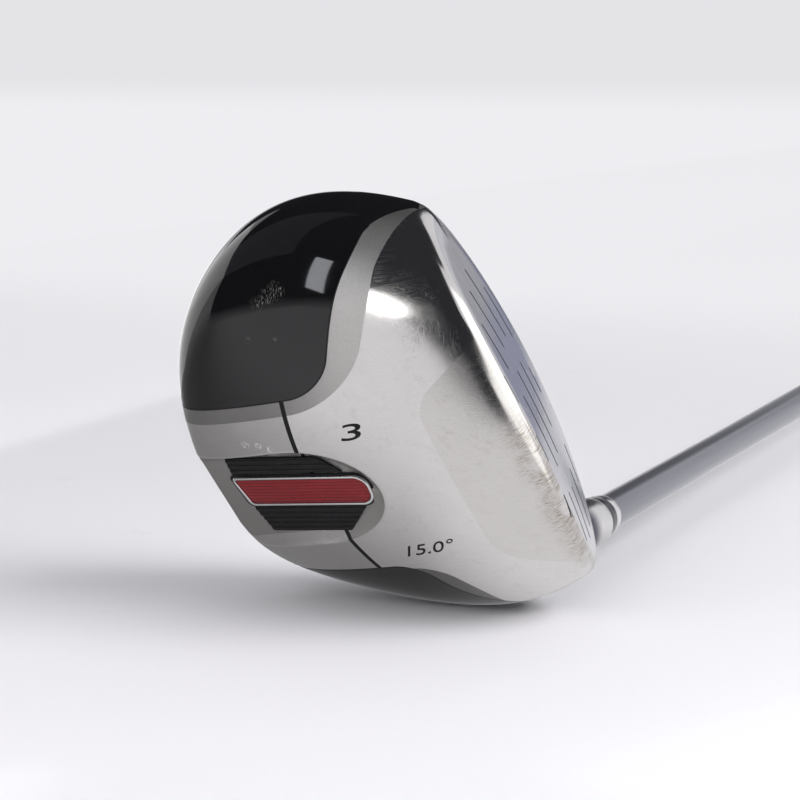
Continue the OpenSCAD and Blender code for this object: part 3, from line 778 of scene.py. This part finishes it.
paint, paint_place = head_finish("gloss_black")
paint_dust = paint.noise(paint_place, 5, 2)
paint_swirl = (hairlines(paint, paint_place, 15, 6, 0.12, 0.0, 5.7)
               + hairlines(paint, paint_place, -62, 5, 0.12, 0.0, 11.3))
scuff_strokes = strokes(paint, paint_place, (1.0, 0.11, 60), 35, 0, 2, 0.5)
scuffed = 0
for middle, reach in (((45.2, -41.0, 8.0), 2.6), ((44.3, -43.6, 7.9), 2.2), ((43.3, -46.4, 7.8), 2.0),
                      ((36.5, -51.7, 6.3), 0.8), ((35.6, -45.3, 5.6), 0.8)):
    scuffed = scuffed + spot(paint, paint_place, middle, reach)
paint_scuff = paint.ramp(scuff_strokes, 0.55, 0.68) * scuffed
paint_base = paint.blend(paint_dust, (0.0035, 0.0035, 0.004), (0.006, 0.006, 0.0065))
paint.surface(paint.blend(paint_scuff * 0.6, paint_base, (0.36, 0.35, 0.33)),
              0.030 + paint_dust * 0.03 + paint_swirl * 0.06 + paint_scuff * 0.4)


def sole_finish(number):
    for area, finish in (("groove", "fill_black"), ("lip", "steel_lip"), ("satin", "steel_satin"),
                         ("band", "steel_blasted")):
        if zone[area][number]:
            return finish
    return "steel_polished"


paint_row = degrees(asin(1.5 / head_depth))


def cup_finish(number):
    if zone["face"][number]:
        return "steel_face"
    return "gloss_black" if zone["black"][number] and face_rows[number] > paint_row else sole_finish(number)


shell("face_cup", "face_steel", zone["cup"], cup_finish)


# ------------------------------
# Front body: the cast steel sole and toe ahead of the seam, polished, with a blasted band along
# the black skirts and a satin panel behind the leading edge. Welded to the face cup.
body = ~zone["cup"] & ~zone["black"] & ~zone["hosel"]
shell("front_body", "polished_steel", body & zone["front"],
      lambda n: "steel_recess" if zone["recess"][n] else sole_finish(n))


# ------------------------------
# Rear sole: the cast steel piece behind the seam, satin finished, with the open end of the
# recess in it. Welded and bonded to the front body.
def rear_finish(number):
    if zone["recess"][number] and not zone["ledge"][number]:
        return "steel_recess"
    plain = sole_finish(number)
    return "steel_rear" if plain == "steel_polished" else plain


shell("rear_sole", "satin_steel", body & ~zone["seam_front"], rear_finish)


# ------------------------------
# Seam fill: black epoxy in the joint between the front body and the rear sole.
# It is wiped flush and slightly dull.
shell("seam_fill", "black_fill", body & ~zone["front"] & zone["seam_front"], lambda n: "fill_black")


# ------------------------------
# Crown shell: the thin crown with its toe and heel skirts, painted gloss black under clear
# lacquer. It is welded to the body, and the paint ends in a sharp masked line.
shell("crown_shell", "gloss_black", zone["black"] & ~zone["cup"] & ~zone["hosel"], lambda n: "gloss_black")


# ------------------------------
# Score lines: three groups of fine grooves in the face, filled with black paint.
# Each is a thin strip that follows the face's bulge and roll.
line_heights = (24.7, 19.9, 14.7, 9.9, 5.0)
toe_ends = ((25.2, 11.7), (33.4, 15.5), (31.4, 16.3), (26.3, 14.3), (16.1, 9.0))
middle_ends = ((3.0, -3.8), (8.2, -9.8), (9.8, -12.9), (6.8, -12.7), (0.0, -7.0))
heel_ends = ((-19.0, -30.0), (-22.0, -39.0), (-22.8, -38.0), (-20.3, -34.3), (-16.6, -23.2))


def piece_from(name, finish):
    """The active object as a named piece with one finish."""
    piece = bpy.context.object
    piece.name = piece.data.name = name
    piece.data.materials.clear()
    piece.data.materials.append(material(finish))
    return piece


def join(pieces):
    bpy.ops.object.select_all(action="DESELECT")
    for piece in pieces:
        piece.select_set(True)
    bpy.context.view_layer.objects.active = pieces[0]
    bpy.ops.object.join()
    return bpy.context.object


def face_outward():
    """Turn the faces of the active piece outward."""
    bpy.ops.object.mode_set(mode="EDIT")
    bpy.ops.mesh.select_all(action="SELECT")
    bpy.ops.mesh.normals_make_consistent(inside=False)
    bpy.ops.object.mode_set(mode="OBJECT")


line_w, line_depth = 0.2, 0.1
strips = []
for height, *groups in zip(line_heights, toe_ends, middle_ends, heel_ends):
    for start, end in groups:
        bpy.ops.mesh.primitive_cube_add(size=1)
        bpy.ops.object.mode_set(mode="EDIT")
        bpy.ops.mesh.subdivide(number_cuts=9)
        bpy.ops.object.mode_set(mode="OBJECT")
        strip = bpy.context.object
        for vertex in strip.data.vertices:
            x = start + (end - start) * (vertex.co.x + 0.5)
            z = height + line_w * vertex.co.z
            vertex.co = (x, line_depth * vertex.co.y - face_back(x, z), z)
        strips.append(strip)
join(strips)
score_lines = piece_from("score_lines", "fill_black")
score_lines.data.transform(row_frame)
face_outward()
fit(score_lines, "black_fill")


# ------------------------------
# Plain numbers on the sole: the club's number and its loft, stamped and filled with black.
# They are generic figures in a plain face, and read from the back towards the face.
sole_turns, sole_rounds = np.meshgrid(np.linspace(4, 70, 200), np.linspace(205, 335, 200))
sole_grid = section_points(sole_turns, sole_rounds).reshape(-1, 3)


def sole_at(x, y):
    """Height of the sole under a place, from its nearest points."""
    away = np.hypot(sole_grid[:, 0] - x, sole_grid[:, 1] - y)
    near = np.argsort(away)[:4]
    weight = 1 / (away[near] + 0.01)
    return float(np.sum(sole_grid[near, 2] * weight) / np.sum(weight))


def sole_number(name, words, size, x, y, rise, widen, lean=0.5):
    bpy.ops.object.text_add()
    text = bpy.context.object.data
    text.body = words
    text.align_x = text.align_y = "CENTER"
    text.size = size
    text.extrude = 0.05
    bpy.ops.object.convert(target="MESH")
    piece = piece_from(name, "fill_black")
    for vertex in piece.data.vertices:
        along, height, proud = vertex.co
        place = (x + height + rise * along, y + widen * along + lean * height)
        vertex.co = (*place, sole_at(*place) - 0.02 - proud)
    piece.data.transform(row_frame)
    face_outward()
    fit(piece, "black_fill")


sole_number("club_number", "3", 6, 10.2, -38.6, rise=0.0, widen=2.2)
sole_number("loft_number", "15.0°", 4.8, -25.4, -36.8, rise=0.07, widen=1.3)


# ------------------------------
# Ribbed inserts: two moulded black rubber strips glued to the recess floor, one on each side
# of the medallion, with low ribs along their length.
badge_w, badge_len, badge_slant, backing_margin = 8.4, 33, 2, 0.6
badge_x, badge_back, badge_turn = -4.6, 7.8, 5.5
floor_frame = (row_frame @ Matrix.Translation((0, recess_y, recess_floor_z))
               @ Matrix.Rotation(radians(-recess_tilt), 4, "X")
               @ Matrix.Translation((badge_x, badge_back - recess_y - head_depth + badge_len / 2, 0))
               @ Matrix.Rotation(radians(badge_turn), 4, "Z")
               @ Matrix.Translation((0, -badge_len / 2, 0)) @ Matrix.Rotation(pi, 4, "Y"))


def round_edges(piece, width, segments=2):
    """Round the piece's sharp edges with an applied bevel, and shade it."""
    bpy.ops.object.mode_set(mode="OBJECT")
    bevel = piece.modifiers.new("rounding", "BEVEL")
    bevel.width = width
    bevel.segments = segments
    bevel.limit_method = "ANGLE"
    bpy.ops.object.modifier_apply(modifier=bevel.name)
    bpy.ops.object.shade_smooth_by_angle(angle=radians(40))


rubber, rubber_place = head_finish("insert_rubber")
rubber_grain = rubber.noise(rubber_place, 7, 3)
rubber_dust = rubber.ramp(rubber.noise(rubber_place, 0.5, 5, 0.7), 0.5, 0.8)
rubber.surface(rubber.blend(rubber_dust, (0.011, 0.011, 0.012), (0.028, 0.028, 0.030)),
               0.55 + rubber_grain * 0.2, rubber.bump(rubber_grain, 0.15, 0.0001), specular=0.25)


def set_in(name, finish, slot, place=floor_frame):
    """Name the active piece, give it its finish and set it in the recess."""
    piece = piece_from(name, finish)
    piece.data.transform(place)
    fit(piece, slot, name)


insert_h, insert_gap = 0.5, 0.2
rib_pitch, rib_w, rib_h, rib_root = 1.45, 0.75, 0.15, 0.05
inner = badge_w / 2 + backing_margin + insert_gap
for name, side, width, back, back_slant, length, front_slant in (
        ("upper_insert", -1, 4.4, -0.5, 0, 28, 4.7), ("lower_insert", 1, 7.4, 1.1, 2.2, 28.7, 6.5)):
    middle = back + length / 2
    rib_n = int(width / rib_pitch)
    bars = [(0, width, 0, insert_h)]
    for i in range(rib_n):
        bars.append(((i + 0.5) * width / rib_n - rib_w / 2, rib_w, insert_h - rib_root, rib_h + rib_root))
    parts = []
    for near, bar_w, low, high in bars:
        bar_x = inner + near + bar_w / 2
        bpy.ops.mesh.primitive_cube_add(size=1)
        bar = bpy.context.object
        bpy.ops.object.mode_set(mode="EDIT")
        bpy.ops.transform.resize(value=(bar_w, length, high))
        bpy.ops.transform.translate(value=(bar_x, middle, low + high / 2))
        for behind, slant in ((False, -front_slant), (True, back_slant)):
            for far in (False, True):
                pick(bar, lambda co: (co.x > bar_x) == far and (co.y < middle) == behind)
                bpy.ops.transform.translate(value=(0, slant * (near + bar_w * far) / width, 0))
                bpy.ops.object.mode_set(mode="OBJECT")
        parts.append(bar)
    insert = join(parts)
    round_edges(insert, 0.12)
    insert.data.transform(Matrix.Diagonal((side, 1, 1, 1)))
    face_outward()
    set_in(name, "insert_rubber", "insert_black")


# ------------------------------
# Medallion: a black backing plate glued to the recess floor, a bright rim pressed over it, and
# red enamel with fine engraved lines poured inside the rim. The enamel is left bare.
def badge_plate(inset, low, high):
    """A plate with the medallion's outline: small corners at the back, a round nose in front."""
    width, length = badge_w - 2 * inset, badge_len - 2 * inset
    bpy.ops.mesh.primitive_plane_add(size=1)
    plate = bpy.context.object
    bpy.ops.object.mode_set(mode="EDIT")
    bpy.ops.transform.resize(value=(width, length, 1))
    bpy.ops.transform.translate(value=(0, badge_len / 2, low))
    for side in (-1, 1):
        pick(plate, lambda co: co.y < badge_len / 2 and co.x * side > 0)
        bpy.ops.transform.translate(value=(0, side * badge_slant / 2, 0))
    pick(plate, lambda co: co.y > badge_len / 2)
    bpy.ops.mesh.bevel(offset=3.4 - inset, segments=10, affect="VERTICES")
    pick(plate, lambda co: co.y < badge_len / 2)
    bpy.ops.mesh.bevel(offset=1.3 - inset * 0.5, segments=6, affect="VERTICES")
    bpy.ops.mesh.select_all(action="SELECT")
    bpy.ops.mesh.extrude_region_move(TRANSFORM_OT_translate={"value": (0, 0, high - low)})
    face_outward()
    return plate


backing_top, rim_top, enamel_top = 0.4, 1.1, 0.9
backing_shift = Matrix.Translation((0.3, -0.35, 0))
round_edges(badge_plate(-backing_margin, 0, backing_top), 0.1)
set_in("badge_backing", "insert_rubber", "insert_black", floor_frame @ backing_shift)

bright, bright_place = head_finish("bright_trim")
bright_haze = bright.noise(bright_place, 3, 3)
bright.surface(bright.blend(bright_haze, (0.70, 0.69, 0.68), (0.86, 0.85, 0.84)),
               0.16 + bright_haze * 0.12, metallic=1.0)
rim_opening = badge_plate(0.6, 0, 2)
rim = badge_plate(0, backing_top, rim_top)
cut = rim.modifiers.new("opening", "BOOLEAN")
cut.object = rim_opening
bpy.ops.object.modifier_apply(modifier=cut.name)
bpy.data.objects.remove(rim_opening)
round_edges(rim, 0.16, 3)
set_in("badge_rim_ring", "bright_trim", "bright_trim")

red = new_finish("red_enamel")
badge_spot, badge_angles, badge_scale = floor_frame.decompose()
red_place = red.place(badge_spot, badge_angles.to_euler("XYZ"), badge_scale)
line_pitch = 0.9
red_phase = red.axis(red_place, "X") * (2 * pi / line_pitch)
red_lines = red.ramp(red.node("ShaderNodeMath", {"operation": "SINE"}, {0: red_phase}), 0.45, 0.95)
red_cloud = red.noise(red_place, 0.6, 3)
red_base = red.blend(red_cloud, (0.20, 0.012, 0.016), (0.27, 0.020, 0.024))
red.surface(red.blend(red_lines * 0.75, red_base, (0.05, 0.006, 0.008)), 0.30 + red_cloud * 0.1,
            red.bump(1 - red_lines, 0.2, 0.0001), specular=0.25)
round_edges(badge_plate(0.7, backing_top, enamel_top), 0.1)
set_in("badge_enamel", "red_enamel", "red_enamel")


# ------------------------------
# Inside the head: a cast weight bonded low at the back, and a pad of soft hot-melt glue on the
# sole that stops rattles. Both keep the shapes of their solids.
def dress(node, dark, light, scale, roughness, metallic=0.0):
    """Give a carried-over solid a finish with a fine grain."""
    grained(node, dark, light, scale, 4, 0.6, roughness - 0.15, 0.3, (0.2, 0.0002), metallic=metallic)
    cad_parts[node].data.materials.clear()
    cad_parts[node].data.materials.append(material(node))


dress("rear_weight", (0.25, 0.24, 0.23), (0.36, 0.35, 0.34), 700, 0.5, 1.0)
dress("damping_pad", (0.50, 0.42, 0.22), (0.62, 0.54, 0.32), 300, 0.4)


# ------------------------------
# Hosel: the steel neck tube that holds the shaft, cast with the head and turned. Its mouth is
# rounded over and polished; towards the head it is slimmer, and there it has a painted dark reflection.
axis_point = Vector(axis_place) * 0.001


def turned(name, finish, slot, outline, rounding=0, segments=72):
    """A turned piece: an outline of (radius, distance) in mm, spun round the shaft axis."""
    bpy.ops.mesh.primitive_plane_add(size=0.001)
    bpy.ops.object.mode_set(mode="EDIT")
    bpy.ops.mesh.merge(type="CENTER")
    bpy.ops.transform.translate(value=(outline[0][0] * 0.001, outline[0][1] * 0.001, 0))
    for (r0, s0), (r1, s1) in zip(outline, outline[1:] + outline[:1]):
        step = ((r1 - r0) * 0.001, (s1 - s0) * 0.001, 0)
        bpy.ops.mesh.extrude_region_move(TRANSFORM_OT_translate={"value": step})
    bpy.ops.mesh.select_all(action="SELECT")
    bpy.ops.mesh.spin(steps=segments, angle=2 * pi, center=(0, 0, 0), axis=(0, 1, 0))
    bpy.ops.mesh.select_all(action="SELECT")
    bpy.ops.mesh.remove_doubles(threshold=1e-6)
    bpy.ops.transform.translate(value=axis_point)
    face_outward()
    piece = piece_from(name, finish)
    if rounding:
        round_edges(piece, rounding * 0.001, 4)
    else:
        bpy.ops.object.shade_smooth_by_angle(angle=radians(40))
    fit(piece, slot, name)


chrome = new_finish("hosel_chrome")
chrome_haze = chrome.noise(chrome.place(), 700, 3)
# Painted reflection: towards the head the chrome is coloured dark navy, as the dark surroundings would show
# in it.
foot_painted_reflection = chrome.ramp(chrome.axis(chrome.place(), "Y"), axis_point.y + 0.048, axis_point.y + 0.043)
chrome_base = chrome.blend(chrome_haze, (0.70, 0.69, 0.68), (0.78, 0.77, 0.76))
chrome.surface(chrome.blend(foot_painted_reflection, chrome_base, (0.10, 0.10, 0.13)), 0.20 + chrome_haze * 0.10,
               metallic=1.0)
tip_r, bore_r, hosel_r, hosel_top = 4.25, 4.55, 6.1, 54.4
shaft_start = hosel_top - 30
foot_start, barrel_start, barrel_end, foot_slim = 19.4, 39.5, 51.5, 1.0
barrel = []
for at in np.linspace(barrel_start, barrel_end, 9):
    barrel.append((hosel_r - foot_slim * ((barrel_end - at) / (barrel_end - barrel_start))**2, at))
turned("hosel", "hosel_chrome", "polished_steel",
       [(0, foot_start), (hosel_r - foot_slim, foot_start), *barrel, (hosel_r, hosel_top),
        (bore_r, hosel_top), (bore_r, shaft_start), (0, shaft_start)], 1.1)


# ------------------------------
# Ferrule and trim ring: a short black plastic collar pushed onto the shaft against the hosel,
# and a bright ring that finishes it.
grained("ferrule_black", (0.006, 0.006, 0.007), (0.012, 0.012, 0.013), 800, 2, 0.5, 0.16, 0.12)
collar_r, ferrule_top = tip_r + 0.1, hosel_top + 4.8
trim_r, trim_top = 5.0, ferrule_top + 3.6
turned("ferrule", "ferrule_black", "ferrule_black",
       [(collar_r, hosel_top), (5.6, hosel_top), (5.3, ferrule_top), (collar_r, ferrule_top)], 0.1)
turned("trim_ring", "bright_trim", "bright_trim",
       [(collar_r, ferrule_top), (trim_r, ferrule_top), (trim_r, trim_top), (collar_r, trim_top)], 0.3)


# ------------------------------
# Shaft: a tapered graphite tube, painted satin blue-grey and lacquered. Inside its tip are a
# brass swing weight and a cork, and it is glued into the hosel with epoxy.
shaft_end, taper_start, butt_r, shaft_wall = 1085, shaft_start + 130, 7.6, 1.5
graphite = new_finish("grey_graphite")
graphite_place = graphite.place(scale=(0.001, 0.02, 0.001))
graphite_flow = graphite.noise(graphite_place, 1, 4, 0.6)
graphite_spark = graphite.noise(graphite.place(), 4000, 2)
graphite.surface(graphite.blend(graphite_flow, (0.18, 0.184, 0.215), (0.225, 0.229, 0.26)),
                 0.26 + graphite_spark * 0.1, metallic=0.8, coat=0.4)
turned("shaft", "grey_graphite", "grey_graphite",
       [(tip_r - shaft_wall, shaft_start), (tip_r, shaft_start), (tip_r, taper_start), (butt_r, shaft_end),
        (butt_r - shaft_wall, shaft_end), (tip_r - shaft_wall, taper_start)])
dress("tip_bond", (0.55, 0.45, 0.26), (0.66, 0.57, 0.38), 500, 0.3)
dress("tip_plug", (0.42, 0.27, 0.14), (0.62, 0.45, 0.27), 900, 0.8)
dress("swing_weight", (0.60, 0.42, 0.14), (0.74, 0.55, 0.22), 600, 0.35, 1.0)


# ------------------------------
# Grip: double-sided tape on the butt, then a moulded black rubber sleeve with groups of ring
# grooves, pushed on wet, and its round end cap with a vent hole.
dress("grip_tape", (0.62, 0.58, 0.47), (0.74, 0.70, 0.58), 400, 0.7)
grip_start, mouth_r, cap_r, cap_top, vent_r = 824, 9.75, 13.5, 1092, 1.7
sleeve = new_finish("grip_rubber")
cord_place = sleeve.place(scale=(0.0011, 0.0011, 0.0011))
cord_grain = sleeve.node("ShaderNodeTexVoronoi", {}, {"Vector": cord_place, "Scale": 1.0})
sleeve_cloud = sleeve.noise(sleeve.place(), 60, 4, 0.6)
sleeve.surface(sleeve.blend(sleeve_cloud, (0.010, 0.010, 0.011), (0.024, 0.024, 0.026)),
               0.62 + sleeve_cloud * 0.2, sleeve.bump(cord_grain, 0.5, 0.0003))


def grip_r(distance):
    return mouth_r + (cap_r - mouth_r) * (distance - grip_start) / (shaft_end - grip_start)


groove_groups, group_rings, ring_pitch, ring_w, ring_depth = 5, 3, 4, 1.6, 0.7
grip_outline = [(5.95, grip_start), (grip_r(grip_start) - 1.2, grip_start),
                (grip_r(grip_start + 2), grip_start + 2)]
for group in range(1, groove_groups + 1):
    for k in range(group_rings):
        start = grip_start + group * (shaft_end - grip_start) / (groove_groups + 1) + ring_pitch * k
        end = start + ring_w
        grip_outline += [(grip_r(start), start), (grip_r(start) - ring_depth, start + 0.25),
                         (grip_r(end) - ring_depth, end - 0.25), (grip_r(end), end)]
grip_outline += [(cap_r, shaft_end), (8.06, shaft_end)]
turned("grip", "grip_rubber", "grip_rubber", grip_outline)
turned("grip_cap", "grip_rubber", "grip_rubber",
       [(vent_r, shaft_end), (cap_r, shaft_end), (cap_r, cap_top - 3.5), (cap_r - 1.2, cap_top - 1.3),
        (cap_r - 3.6, cap_top), (vent_r, cap_top)], 0.5)
